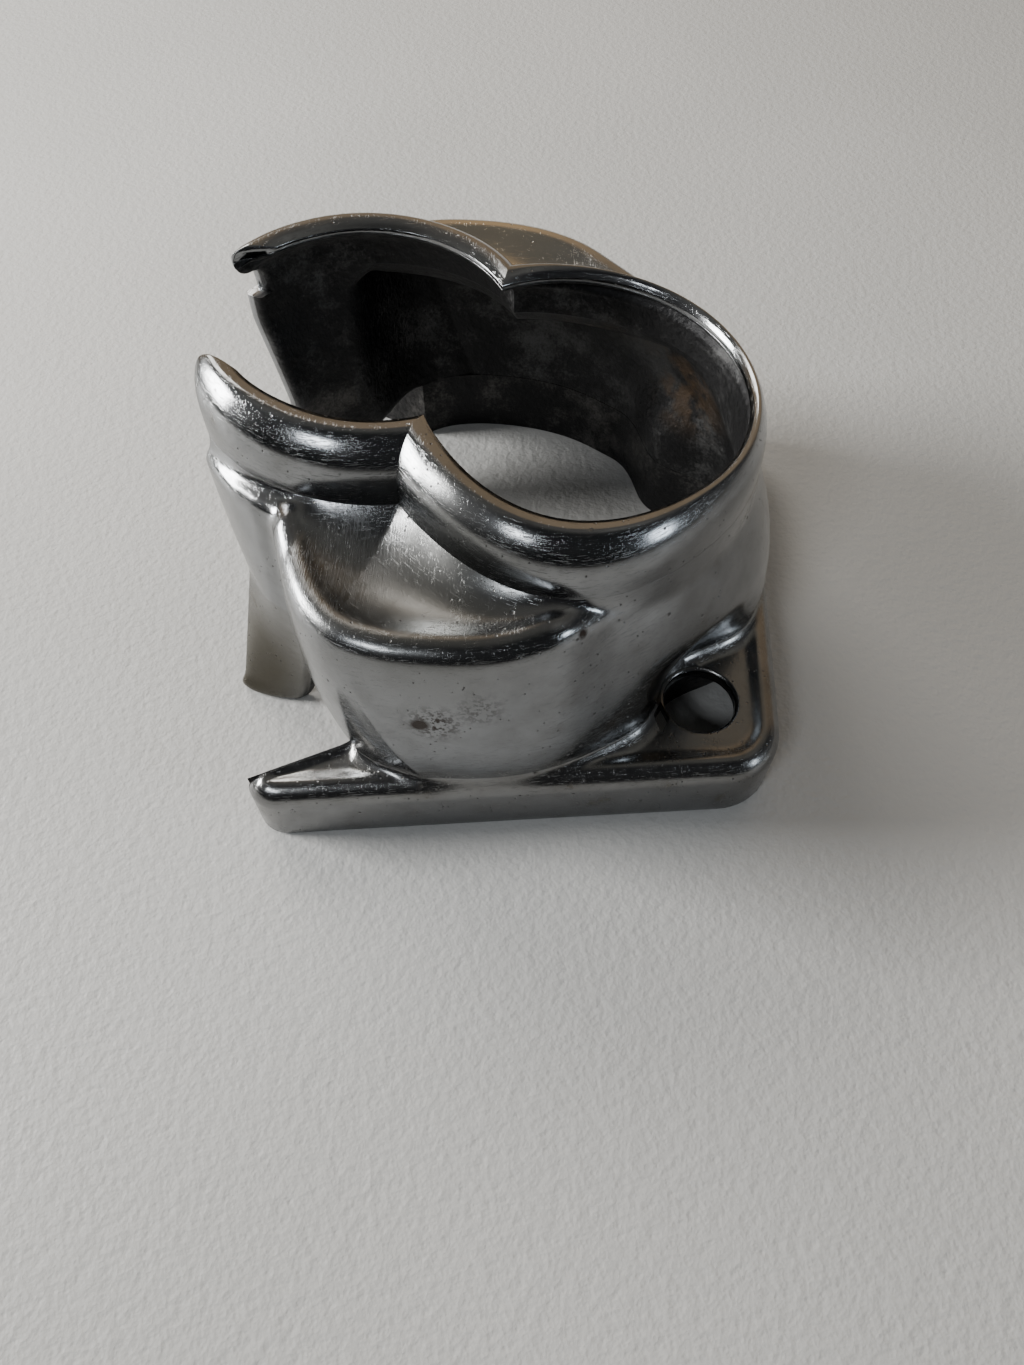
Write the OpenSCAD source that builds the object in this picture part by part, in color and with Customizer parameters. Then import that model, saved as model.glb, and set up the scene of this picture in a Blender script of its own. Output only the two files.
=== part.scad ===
// Cast bracket of a paper towel holder.
// A C-shaped cup with a two-lobed rim stands on a shallow tray that screws flat to a surface.
// The closed end is towards +X, the open end is towards -X, and the tray rests on z = 0.
// Sections of the cup lie in upright planes through the cup's axis. A bearing is the angle of
// such a plane from the closed end: 0 to 180 along the rear side, 0 to -180 along the front.

/* [Cup] */
// Thickness of the cast wall
wall = 1.9; // [1.5:0.1:2.4]
// Nominal reach of the cup's foot from its axis
foot_reach = 28; // [24:0.5:34]
// Height of the rim's inner edge above the wall plane, at the cup's axis
rim_z = 34.1; // [29:0.1:41]
// Rise of the rim towards the open end, in mm for each mm along X
rim_rise = 0.075; // [0:0.005:0.15]

/* [Rim lobes] */
// Inner radius of the round lobe, at the closed end
round_lobe_r = 14.1; // [12:0.1:17]
// Centre of the round lobe, from the cup's axis
round_lobe_at = [8.4, -3.4];
// Inner radius of the open lobe, at the open end
open_lobe_r = 12.5; // [10.5:0.1:15]
// Centre of the open lobe, from the cup's axis
open_lobe_at = [-10.4, 2.4];
// Extra fullness of the round lobe at the front
front_full = 1.2; // [0:0.1:2]
// Width of the rim band, from its inner edge out to its face
band_w = 4.3; // [3.8:0.1:5.2]
// Share of that width that is left at the closed end
band_share = 0.45; // [0.4:0.01:0.6]
// Height of the rim band, from its inner edge down to its crease
band_h = 5; // [4.2:0.1:6]

/* [Pouches and tabs] */
// Drop from the crease to the ridge of a pouch
pouch_drop = 0.8; // [0.3:0.1:2]
// Depth of the dish behind the ridge, as a share of its width
dish_share = 0.16; // [0.05:0.01:0.25]
// Outward swell of a pouch's belly
belly = 0.8; // [0:0.1:2]
// Extra swell of the closed end
end_swell = 0.6; // [0:0.1:2]
// Height of the bend where a side panel flares into its tab
bend_z = 16.5; // [14:0.5:20]
// Reach of a tab's corner on the wall plane
tab_reach = 30; // [27:0.5:34]

/* [Tray] */
// Height of the tray's top face
tray_z = 8; // [6:0.5:10]
// Radius of the tray's corners in plan
corner_r = 6; // [4:0.5:8]
// Rounding of the tray's top edge
shoulder = 2.2; // [1.5:0.1:2.8]
// Tray beyond the cup's foot at the closed end
end_margin = 1.5; // [1:0.1:4]
// Tray beyond the cup's nominal reach at the open end
open_margin = 4; // [3:0.1:6]

/* [Screws] */
// Diameter of the screw holes
screw_d = 7; // [5:0.1:8.4]
// Distance between the two screw holes
screw_pitch = 36.6; // [30:0.1:40]
// Distance from a screw hole to the tray's end edge
screw_end = 7.9; // [7:0.1:10]
// Distance from a screw hole to the tray's side edge, at the closed end
screw_side = 7.6; // [7:0.1:10]
// Gap between a screw hole and the foot of the cup
screw_gap = 0.7; // [0.4:0.1:2]

/* [Hidden] */
chrome = [0.72, 0.73, 0.74];

// Bearings where the cup is divided, measured from the closed end on either side
tip_front = [166, 163];  // front petal's free end, at its inner edge and at its crease
tip_rear = [154, 152];   // rear petal's free end, at its inner edge and at its crease
tip_bulge = [5, 6];      // a free end bulges beyond that across the band, front and rear
panel_front = 163;    // top of the front side panel's free edge
panel_rear = 155;     // top of the rear side panel's free edge
bend_tip = 154;       // free edge of a side panel at its bend
tab_tip = 151.6;      // free edge of a tab at its foot
pouch_corner = 136;   // side panel meets pouch
pouch_end = 60;       // pouch fades into the closed end wall
tray_root = 113;      // tongue of the tray leaves the pouch
step = 4;             // bearing step of the sections, in degrees
thin_front = [15, 85];    // the rim band widens between these bearings along the front
thin_rear = [40, 100];    // the same along the rear
full_at = -72;            // the round lobe is fullest at this bearing
full_span = 34;           // and its extra fullness fades over this much either way
tip_from = [148, 140];    // the band starts to narrow towards a petal's tip, front and rear
tip_span = 20;            // and narrows over this much
tip_share = 0.1;          // share of its width that it loses there
swell_fade = 10;          // a belly's swell fades over this much at the pouch's corner
end_from = 50;            // the closed end's own swell starts inside this bearing
end_fade = 30;            // and grows over this much

// Shape of the foot and of the pouch's ridge, as [bearing, share of foot_reach]
FOOT = [[-12, 1.00], [0, 1.00], [19, 1.015], [32, 0.99], [46, 0.975], [59, 0.97], [73, 0.995],
        [89, 1.015], [100, 1.03], [108, 1.03], [114, 1.005], [120, 0.955], [127, 0.89],
        [133, 0.87], [145, 0.9], [156, 0.905]];
RIDGE = [[40, 0.80], [55, 0.84], [63, 0.87], [72, 0.92], [81, 0.955], [89, 0.975], [97, 0.99],
         [105, 1.005], [112, 1.005], [119, 0.965], [125, 0.91], [131, 0.85], [138, 0.795],
         [145, 0.825], [152, 0.86], [164, 0.895], [176, 0.9]];

// Section of the rim band: [out, up] from its inner edge, and the inward normal there
BAND = [[0, 0], [0.2, 0.5], [0.42, 0.6], [0.68, -0.2], [0.88, -1.3], [0.98, -2.8]];
BAND_IN = [[0.07, -0.35], [0.06, -0.6], [-0.08, -0.85], [-0.6, -0.8], [-0.85, -0.5], [-1, -0.1]];

roll_r = wall + 0.3;                       // outer radius of a pouch's ridge, over its inner 0.3
tray_end = foot_reach * FOOT[1][1] + end_margin;
screw_x = tray_end - screw_end;
screw_y = screw_pitch / 2;
side_end = screw_y + screw_side;           // half-width of the tray at the closed end
side_open = foot_reach + open_margin;      // half-width of the tray at the open end
tongue_x = -foot_reach * 0.77;             // tips of the tray's two tongues
tongue_r = 3;                              // rounding of a tongue's tip
tongue_turn = 170;                         // its round stops at this angle
arc_n = 8;                                 // points along a round of the outline
shoulder_low = [0.25, 0.3];                // middle of the rounded edge: shares in and down
shoulder_top = 0.9;                        // share that the rounded edge is moved in at the top
slot_half = [0.8, 1.8];                    // half sizes of the lozenge beside each screw
slot_shift = [0.35, 2.2];                  // its middle, beyond the hole's edge and outwards
tongue_w = 2.2;                            // width left at a tongue's tip
pocket_bearing = atan2(screw_y, screw_x) - 3;  // the pocket is deepest here
pocket_span = 21;                          // and fades over this much either way
pocket_top = tray_z + 11;                  // height where it has gone
pocket_rise = 9;                           // height over which it fades
ledge_ease = 1.2;                          // how softly a ledge starts
roll_from = 3;                             // a ridge starts to turn this far before its ledge
roll_grow = 5;                             // and is full after this much more
end_drop = 2;                              // extra drop of the ridge where there is no ledge
ledge_full = 5;                            // width of ledge that has the whole pouch drop
min_fall = 1;                              // least height of the turn below the crease
tab_level = 0.35;                          // share of a tab's width where its foot reaches z = 0
tab_flare = 1.02;                          // power of a tab's flare
pocket_r = norm([screw_x, screw_y]) - screw_d / 2 - screw_gap;
shift_x = (tab_reach * cos(180 - tab_tip) - tray_end) / 2;

// Points along each part of a section
ledge_n = 5;
roll_n = 4;
flank_n = 6;
panel_n = 3;
tab_n = 4;
panel_step = 8;

function mix(a, b, t) = a + (b - a) * t;
function clamp01(t) = min(1, max(0, t));
function smooth(t) = let (u = clamp01(t)) u * u * (3 - 2 * u);

// Smooth curve through a list of [bearing, value]
function slope(list, i) = let (a = max(i - 1, 0), b = min(i + 1, len(list) - 1))
    (list[b][1] - list[a][1]) / (list[b][0] - list[a][0]);
function segment(list, x, i = 0) =
    (i >= len(list) - 2 || x < list[i + 1][0]) ? i : segment(list, x, i + 1);
function along(list, x) = let (
        i = segment(list, x), w = list[i + 1][0] - list[i][0],
        t = clamp01((x - list[i][0]) / w), u = 1 - t)
    list[i][1] * u * u * (1 + 2 * t) + list[i + 1][1] * t * t * (3 - 2 * t)
    + slope(list, i) * w * u * u * t - slope(list, i + 1) * w * t * t * u;

// Distance from the cup's axis to the far side of a lobe's circle, on a bearing
function lobe_ray(b, at, r) = let (
        fore = at[0] * cos(b) + at[1] * sin(b), side = at[0] * sin(b) - at[1] * cos(b))
    fore + sqrt(r * r - side * side);
// Outline of the rim, grown outwards: the union of the two lobes, a little fuller at the front
function fuller(b) = front_full * smooth(1 - abs(b - full_at) / full_span);
function rim_reach(b, grow) = max(lobe_ray(b, open_lobe_at, open_lobe_r + grow),
                                  lobe_ray(b, round_lobe_at, round_lobe_r + grow) + fuller(b));
// Bearing of a cusp between the lobes, where their grown circles cross
function cusp(side, grow) = let (
        d = round_lobe_at - open_lobe_at, n = norm(d), ra = open_lobe_r + grow,
        rb = round_lobe_r + grow, a = (n * n + ra * ra - rb * rb) / (2 * n),
        h = side * sqrt(ra * ra - a * a), u = d / n,
        p = open_lobe_at + a * u + h * [-u[1], u[0]])
    atan2(p[1], p[0]);

// Share of the band's full width at a bearing: full round the petals, thin at the closed end
function window(v, w) = smooth((v - w[0]) / (w[1] - w[0]));
function band_at(b) = mix(band_share, 1, b < 0 ? window(-b, thin_front) : window(b, thin_rear));
// Near a petal's tip the inner edge draws outwards, and the band narrows
function tip_draw(b) = tip_share * smooth((abs(b) - tip_from[b < 0 ? 0 : 1]) / tip_span);
function rim_edge_z(x) = rim_z - rim_rise * x;
function crease_z(x) = rim_z - band_h - rim_rise * x / 2;
function grown(b, share) = rim_reach(b, band_w * band_at(b) * share);

// Reach of the crease below the band
function crease_r(b) = grown(b, 1);

// Ledge between the crease and the ridge of a pouch; away from the pouches it turns downwards
function ridge_r(b) = foot_reach * along(RIDGE, abs(b));
function ledge_gap(b) = ridge_r(b) - roll_r / 2 - crease_r(b);
function ledge(b) = let (g = ledge_gap(b)) (g + sqrt(g * g + ledge_ease * ledge_ease)) / 2;
function ledge_share(b) = smooth((ledge_gap(b) + roll_from) / roll_grow);
function crease_at(b) = crease_z(crease_r(b) * cos(b));
function ridge_z(b) = crease_at(b) - pouch_drop * smooth(ledge(b) / ledge_full)
    - end_drop * (1 - ledge_share(b));
function ledge_points(b) = [for (i = [0 : ledge_n - 1]) let (t = i / ledge_n)
    [crease_r(b) + ledge(b) * t,
     mix(crease_at(b), ridge_z(b), t) - dish_share * ledge(b) * 4 * t * (1 - t)]];
function roll_points(b) = let (q = roll_r * ledge_share(b), fall = max(q, min_fall))
    [for (i = [0 : roll_n - 1]) let (a = 90 * i / roll_n)
        [crease_r(b) + ledge(b) + q * sin(a), ridge_z(b) - fall * (1 - cos(a))]];
function flank_top(b) = let (q = roll_r * ledge_share(b))
    [crease_r(b) + ledge(b) + q, ridge_z(b) - max(q, min_fall)];

// Pocket beside each screw, cut into the foot and fading upwards
function foot_plain(b) = foot_reach * along(FOOT, abs(b));
function pocket(b, z) = let (s = clamp01(1 - abs(abs(b) - pocket_bearing) / pocket_span))
    max(0, foot_plain(pocket_bearing) - pocket_r) * pow(sin(90 * s), 2)
    * smooth((pocket_top - z) / pocket_rise);
function foot_r(b) = foot_plain(b) - pocket(b, tray_z);

// Flank of a pouch or of the closed end: a parabola through its top, its belly and its foot
function swell(b) = belly * smooth((pouch_corner - abs(b)) / swell_fade)
    + end_swell * smooth((end_from - abs(b)) / end_fade);
function flank_r(b, z) = let (top = flank_top(b), t = (top[1] - z) / (top[1] - tray_z))
    mix(top[0], foot_plain(b), t) + swell(b) * 4 * t * (1 - t) - pocket(b, z);
function flank_points(b) = let (top = flank_top(b))
    [for (i = [0 : flank_n]) let (z = mix(top[1], tray_z, i / flank_n)) [flank_r(b, z), z]];

// Side panel down to its bend, and the tab that flares from the bend to its lower edge.
// Here a place along the panel is a share s, from 0 at the pouch to 1 at the free edge
function panel_edge(side) = side < 0 ? panel_front : panel_rear;
function top_bearing(s, side) = side * mix(pouch_corner, panel_edge(side), s);
function bend_r(s) = foot_plain(mix(pouch_corner, bend_tip, s));
function panel_points(s, side) = let (top = flank_top(top_bearing(s, side)))
    [for (i = [0 : panel_n]) let (t = i / panel_n) [mix(top[0], bend_r(s), t), mix(top[1], bend_z, t)]];
function tab_floor(s) = tray_z * smooth(1 - s / tab_level);
function tab_foot_r(s) = mix(foot_plain(pouch_corner), tab_reach, smooth(s));
function tab_points(s) = [for (i = [0 : tab_n]) let (t = i / tab_n)
    [mix(bend_r(s), tab_foot_r(s), pow(t, tab_flare)), mix(bend_z, tab_floor(s), t)]];
// The free edge leans: its bearing changes with height
function edge_bearing(z, side) = z > bend_z
    ? mix(bend_tip, panel_edge(side), smooth((z - bend_z) / (crease_z(-foot_reach) - bend_z)))
    : mix(tab_tip, bend_tip, z / bend_z);
function panel_bearing(s, z, side) = mix(pouch_corner, edge_bearing(z, side), s);

// Inner side of a section: its outer side moved in by the wall, level with it at both ends
function inward(p, i) = let (
        last = len(p) - 1, d = p[min(i + 1, last)] - p[max(i - 1, 0)])
    (i == 0 || i == last) ? [-1, 0] : [d[1], -d[0]] / norm(d);
function inner(p) = [for (i = [0 : len(p) - 1]) p[i] + wall * inward(p, i)];

// Section of the rim band, from its sharp inner edge over the crest to the crease
function band_outer(b) = let (w = band_w * band_at(b), z = rim_edge_z(rim_reach(b, 0) * cos(b)))
    concat([for (p = BAND) [rim_reach(b, w * mix(p[0], 1, tip_draw(b))), z + p[1]]],
           [[crease_r(b), crease_at(b)]]);
function band_inner(b) = let (o = band_outer(b), last = len(o) - 1)
    [for (i = [0 : last]) o[i] + wall * (i == last ? [-1, 0] : BAND_IN[i])];

// Bearings from a to b, evenly spread, no further apart than the step
function bearings(a, b) = let (n = ceil(abs(b - a) / step)) [for (i = [0 : n]) mix(a, b, i / n)];
function spot(b, p) = [p[0] * cos(b) + shift_x, p[0] * sin(b), p[1]];

// Solid between sections: each is [outer points, inner points] in space, paired one to one
module loft(sections) {
    n = len(sections[0][0]);
    m = len(sections);
    points = [for (s = sections, side = [0, 1], p = s[side]) p];
    function id(k, side, i) = (2 * k + side) * n + i;
    function quad(a, b, c, d) = [[a, b, c], [a, c, d]];
    skin = [for (k = [0 : m - 2], i = [0 : n - 2])
        each concat(quad(id(k, 0, i), id(k, 0, i + 1), id(k + 1, 0, i + 1), id(k + 1, 0, i)),
                    quad(id(k, 1, i), id(k + 1, 1, i), id(k + 1, 1, i + 1), id(k, 1, i + 1)))];
    rims = [for (k = [0 : m - 2])
        each concat(quad(id(k, 0, 0), id(k + 1, 0, 0), id(k + 1, 1, 0), id(k, 1, 0)),
                    quad(id(k, 0, n - 1), id(k, 1, n - 1), id(k + 1, 1, n - 1), id(k + 1, 0, n - 1)))];
    ends = [for (i = [0 : n - 2])
        each concat(quad(id(0, 0, i), id(0, 1, i), id(0, 1, i + 1), id(0, 0, i + 1)),
                    quad(id(m - 1, 0, i), id(m - 1, 0, i + 1), id(m - 1, 1, i + 1), id(m - 1, 1, i)))];
    polyhedron(points, concat(skin, rims, ends), convexity = 6);
}

// Sections of one piece: outer and inner points of each bearing, placed in space
function place(b, outer, inner) = [[for (p = outer) spot(b, p)], [for (p = inner) spot(b, p)]];
function chain(stops) = [for (k = [0 : len(stops) - 2])
    each [for (q = bearings(stops[k], stops[k + 1])) if (k == 0 || q != stops[k]) q]];
function pouch_sections(stops) = [for (q = chain(stops))
    let (o = concat(ledge_points(q), roll_points(q), flank_points(q))) place(q, o, inner(o))];
// Side panels are worked out with rear bearings, and the front ones are mirrored afterwards
function panel_outer(s, low, side) = let (b = top_bearing(s, side))
    low ? tab_points(s) : concat(ledge_points(b), roll_points(b), panel_points(s, side));
function panel_sections(low, side) = [for (j = [0 : panel_step]) let (
        s = j / panel_step, o = panel_outer(s, low, side), i = inner(o),
        b = [for (p = o) panel_bearing(s, p[1], side)])
    [[for (k = [0 : len(o) - 1]) spot(b[k], o[k])], [for (k = [0 : len(o) - 1]) spot(b[k], i[k])]]];
// Bearing of a rim point: the pieces divide at the cusps, which follow the band outwards
function band_share_out(k) = k < len(BAND) ? BAND[k][0] : 1;
function cusp_front(k) = cusp(-1, band_w * band_share_out(k));
function cusp_rear(k) = cusp(1, band_w * band_share_out(k));
// Sections of a rim piece between two bearings that each depend on the place across the band
function rim_sections(from, to, n) = [for (j = [0 : n]) let (
        q = [for (k = [0 : len(BAND)]) mix(from[k], to[k], j / n)],
        o = [for (k = [0 : len(BAND)]) band_outer(q[k])[k]],
        i = [for (k = [0 : len(BAND)]) band_inner(q[k])[k]])
    [[for (k = [0 : len(BAND)]) spot(q[k], o[k])], [for (k = [0 : len(BAND)]) spot(q[k], i[k])]]];
band_k = [for (k = [0 : len(BAND)]) k];
function tip(ends, bulge, s) = mix(ends[0], ends[1], s) + bulge * 4 * s * (1 - s);
front_tip = [for (k = band_k) -tip(tip_front, tip_bulge[0], band_share_out(k))];
front_cusp = [for (k = band_k) cusp_front(k)];
rear_cusp = [for (k = band_k) cusp_rear(k)];
rear_tip = [for (k = band_k) tip(tip_rear, tip_bulge[1], band_share_out(k))];

// Half of the tray's outline, moved in by an amount: the corner at the closed end, the tongue's tip
side_angle = atan2(side_open - side_end, tray_end - tongue_x);
function side_y(x) = mix(side_end, side_open, (tray_end - x) / (tray_end - tongue_x));
function corner_arc(x, r, a, b, inset) = [for (t = [0 : arc_n]) let (turn = mix(a, b, t / arc_n))
    [x, side_y(x) - r / cos(side_angle)] + (r - inset) * [cos(turn), sin(turn)]];
function half_outline(inset) = concat(
    corner_arc(tray_end - corner_r, corner_r, 0, 90 - side_angle, inset),
    corner_arc(tongue_x + tongue_r, tongue_r, 90 - side_angle, tongue_turn, inset));
function flip(list) = [for (i = [len(list) - 1 : -1 : 0]) [list[i][0], -list[i][1]]];
function outline(inset) = concat(half_outline(inset), flip(half_outline(inset)));

// Opening of the tray: the cup's inside, and the open end between the tongues. The wall goes on
// round it down to z = 0, so the hollow under the tray is closed off from the cup
function foot_inside() = [for (b = [-tray_root : 3 : tray_root]) (foot_r(b) - wall) * [cos(b), sin(b)]];
module tray_opening() {
    far = 3 * foot_reach;
    y = side_open - tongue_w;
    polygon(concat(foot_inside(), [[tongue_x, y], [-far, y], [-far, -y], [tongue_x, -y]]));
}
module tray_hollow() {
    difference() {
        polygon(outline(wall));
        offset(delta = wall) tray_opening();
    }
}
module slab(inset) {
    linear_extrude(0.01) polygon(outline(inset));
}
module screw_hole(side) {
    translate([screw_x, side * screw_y, tray_z - wall - 1]) cylinder(d = screw_d, h = wall + 2, $fn = 64);
}
// Small lozenge left open beside each screw, at the foot of the pocket
module lozenge(side) {
    translate([screw_x - screw_d / 2 - slot_shift[0], side * (screw_y + slot_shift[1]), tray_z - wall - 1])
        linear_extrude(wall + 2)
            polygon([[-slot_half[0], 0], [0, -slot_half[1]], [slot_half[0], 0], [0, slot_half[1]]]);
}
module mounting_tray() {
    color(chrome) translate([shift_x, 0, 0]) difference() {
        union() {
            linear_extrude(tray_z - shoulder) polygon(outline(0));
            hull() {
                translate([0, 0, tray_z - shoulder - 0.01]) slab(0);
                translate([0, 0, tray_z - shoulder * shoulder_low[1]]) slab(shoulder * shoulder_low[0]);
                translate([0, 0, tray_z - 0.01]) slab(shoulder * shoulder_top);
            }
        }
        translate([0, 0, -1]) linear_extrude(tray_z - wall + 1) tray_hollow();
        translate([0, 0, -1]) linear_extrude(tray_z + 2) tray_opening();
        screw_hole(1);
        screw_hole(-1);
        lozenge(1);
        lozenge(-1);
    }
}

module closed_end_wall() {
    color(chrome) loft(pouch_sections([-pouch_end, pouch_end]));
}
module front_pouch() {
    color(chrome) loft(pouch_sections([-pouch_corner, cusp(-1, band_w), -pouch_end]));
}
module rear_pouch() {
    color(chrome) loft(pouch_sections([pouch_end, cusp(1, band_w), pouch_corner]));
}
module front_side_panel() {
    color(chrome) mirror([0, 1, 0]) loft(panel_sections(false, -1));
}
module rear_side_panel() {
    color(chrome) loft(panel_sections(false, 1));
}
module front_tab() {
    color(chrome) mirror([0, 1, 0]) loft(panel_sections(true, -1));
}
module rear_tab() {
    color(chrome) loft(panel_sections(true, 1));
}
module round_lobe_rim() {
    color(chrome) loft(rim_sections(front_cusp, rear_cusp, 42));
}
module front_petal_rim() {
    color(chrome) loft(rim_sections(front_tip, front_cusp, 14));
}
module rear_petal_rim() {
    color(chrome) loft(rim_sections(rear_cusp, rear_tip, 20));
}

mounting_tray();
closed_end_wall();
front_pouch();
rear_pouch();
front_side_panel();
rear_side_panel();
front_tab();
rear_tab();
round_lobe_rim();
front_petal_rim();
rear_petal_rim();
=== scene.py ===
"""Cast bracket of a paper towel holder, on a pale textured floor under soft light.

Lengths in the shape section are in millimetres and are turned into metres when a mesh is made.
A bearing is the angle round the cup's axis from its closed end: positive along the rear side,
negative along the front. A profile runs along a section of the casting at one bearing.
"""
import bpy
import math
import numpy as np
from mathutils import Matrix, Vector


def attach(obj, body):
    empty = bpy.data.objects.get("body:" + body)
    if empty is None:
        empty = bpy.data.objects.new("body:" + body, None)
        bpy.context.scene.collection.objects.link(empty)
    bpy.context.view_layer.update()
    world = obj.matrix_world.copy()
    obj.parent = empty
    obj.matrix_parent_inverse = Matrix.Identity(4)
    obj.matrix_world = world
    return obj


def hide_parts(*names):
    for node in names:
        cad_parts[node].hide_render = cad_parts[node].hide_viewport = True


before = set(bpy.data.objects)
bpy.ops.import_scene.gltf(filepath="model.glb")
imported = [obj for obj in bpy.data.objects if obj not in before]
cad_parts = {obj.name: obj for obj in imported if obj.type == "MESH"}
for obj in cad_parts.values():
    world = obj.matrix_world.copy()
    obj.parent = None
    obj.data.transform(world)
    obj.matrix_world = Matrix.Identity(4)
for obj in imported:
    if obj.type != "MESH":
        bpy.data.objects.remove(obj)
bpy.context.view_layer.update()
fine = 1.0

# ---------------------------------------------------------------- sizes, in millimetres
WALL = 1.9
FOOT_REACH = 28.0
RIM_Z = 34.1
RIM_RISE = 0.075
ROUND_AT, ROUND_R = np.array([8.4, -3.4]), 14.1
OPEN_AT, OPEN_R = np.array([-10.4, 2.4]), 12.5
FRONT_FULL = 1.2
BAND_W, BAND_SHARE, BAND_H = 4.3, 0.45, 5.0
POUCH_DROP, DISH, BELLY, END_SWELL = 0.8, 0.16, 0.8, 0.6
BEND_Z, TAB_REACH = 16.5, 30.0
TRAY_Z, CORNER_R, SHOULDER = 8.0, 6.0, 2.2
SCREW_D, SCREW_X, SCREW_Y = 7.0, 21.6, 18.3
TIP_FRONT, TIP_REAR = (166.0, 163.0, 5.0), (154.0, 152.0, 6.0)
TIP_FROM_FRONT, TIP_FROM_REAR, TIP_SPAN, TIP_SHARE = 148.0, 140.0, 20.0, 0.1
PANEL_FRONT, PANEL_REAR, BEND_TIP, TAB_TIP = 163.0, 155.0, 154.0, 151.6
CORNER, POUCH_END, ROOT = 136.0, 60.0, 113.0
LEDGE_EASE, LEDGE_FROM, LEDGE_FULL, END_DROP, MIN_FALL = 1.2, 3.0, 5.0, 2.0, 1.0
POCKET_SPAN, POCKET_RISE, POCKET_GAP = 21.0, 9.0, 0.7
TAB_LEVEL, TAB_FLARE, BEAD_Z, BEAD_R = 0.35, 1.02, 0.8, 0.42
SLOT_HALF, SLOT_SHIFT = (0.8, 1.8), (0.35, 2.2)
TONGUE_GAP = 0.35
TRAY_END = FOOT_REACH + 1.5
SIDE_END, SIDE_OPEN = SCREW_Y + 7.6, FOOT_REACH + 4.0
TONGUE_X, TONGUE_R, TONGUE_W = -FOOT_REACH * 0.77, 3.0, 2.2
ROLL_R = WALL + 0.3
SHIFT_X = (TAB_REACH * math.cos(math.radians(180 - TAB_TIP)) - TRAY_END) / 2

FOOT = [[-12, 1.00], [0, 1.00], [19, 1.015], [32, 0.99], [46, 0.975], [59, 0.97], [73, 0.995],
        [89, 1.015], [100, 1.03], [108, 1.03], [114, 1.005], [120, 0.955], [127, 0.89],
        [133, 0.87], [145, 0.9], [156, 0.905]]
RIDGE = [[40, 0.80], [55, 0.84], [63, 0.87], [72, 0.92], [81, 0.955], [89, 0.975], [97, 0.99],
         [105, 1.005], [112, 1.005], [119, 0.965], [125, 0.91], [131, 0.85], [138, 0.795],
         [145, 0.825], [152, 0.86], [164, 0.895], [176, 0.9]]
# Rim band across its width: share of the width, height over its edge, and the way to its inner side
BAND = np.array([[0, 0, 0.07, -0.35], [0.2, 0.5, 0.06, -0.6], [0.42, 0.6, -0.08, -0.85],
                 [0.68, -0.2, -0.6, -0.8], [0.88, -1.3, -0.85, -0.5], [0.98, -2.8, -1, -0.1],
                 [1, -5, -1, 0]])


# ---------------------------------------------------------------- small helpers
def mix(a, b, t):
    """The value a share t of the way from a to b, along a straight line."""
    return a + (b - a) * t


def smooth(t):
    """A cubic from 0 to 1 that starts and ends level, and stays at 0 and 1 outside."""
    u = np.clip(t, 0, 1)
    return u * u * (3 - 2 * u)


def cosd(b):
    return np.cos(np.radians(b))


def sind(b):
    return np.sin(np.radians(b))


def unit(v):
    """Vectors divided by their own lengths."""
    return v / np.maximum(np.linalg.norm(v, axis=-1, keepdims=True), 1e-9)


def along(stations, x):
    """Smooth curve through stations: a cubic between each pair, whose slope at a station is that
    of the line between its two neighbours."""
    s = np.array(stations, float)
    last = len(s) - 1
    a, b = np.maximum(np.arange(last + 1) - 1, 0), np.minimum(np.arange(last + 1) + 1, last)
    slope = (s[b, 1] - s[a, 1]) / (s[b, 0] - s[a, 0])
    k = np.clip(np.searchsorted(s[:, 0], x, side="right") - 1, 0, last - 1)
    w = s[k + 1, 0] - s[k, 0]
    t = np.clip((x - s[k, 0]) / w, 0, 1)
    u = 1 - t
    return (s[k, 1] * u * u * (1 + 2 * t) + s[k + 1, 1] * t * t * (3 - 2 * t)
            + slope[k] * w * u * u * t - slope[k + 1] * w * t * t * u)


def crowd(count, start=0.0, end=0.0):
    """Places from 0 to 1, closer together towards an end whose crowding is above 0: a blend of an
    even spread and of one minus the cosine of a quarter or half turn."""
    t = np.linspace(0, 1, count)
    both = (1 - np.cos(np.pi * t)) / 2
    low, high = 1 - np.cos(np.pi * t / 2), np.sin(np.pi * t / 2)
    shape = both if start and end else low if start else high if end else t
    return mix(t, shape, max(start, end))


# ---------------------------------------------------------------- the casting's form
def lobe(b, at, r):
    """Distance from the cup's axis to the far side of a circle, on a bearing: the part of its
    centre that lies along the bearing, plus the half chord there."""
    fore, side = at[0] * cosd(b) + at[1] * sind(b), at[0] * sind(b) - at[1] * cosd(b)
    return fore + np.sqrt(np.maximum(r * r - side * side, 0))


def round_reach(b, grow):
    """Reach of the round lobe, grown outwards, with a soft bump of the front's fullness round a
    bearing of -72 degrees."""
    return lobe(b, ROUND_AT, ROUND_R + grow) + FRONT_FULL * smooth(1 - np.abs(b + 72) / 34)


def open_reach(b, grow):
    """Reach of the open lobe, grown outwards."""
    return lobe(b, OPEN_AT, OPEN_R + grow)


def reach(b, grow):
    """Reach of the rim: the greater of the two lobes, so they meet in a cusp."""
    return np.maximum(round_reach(b, grow), open_reach(b, grow))


def cusp(side, grow):
    """Bearing where the two grown circles cross, on one side of the line between their centres."""
    d = ROUND_AT - OPEN_AT
    n = np.linalg.norm(d)
    ra, rb = OPEN_R + grow, ROUND_R + grow
    a = (n * n + ra * ra - rb * rb) / (2 * n)
    h = side * np.sqrt(ra * ra - a * a)
    u = d / n
    return np.degrees(np.arctan2(OPEN_AT[1] + a * u[1] + h * u[0], OPEN_AT[0] + a * u[0] - h * u[1]))


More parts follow.
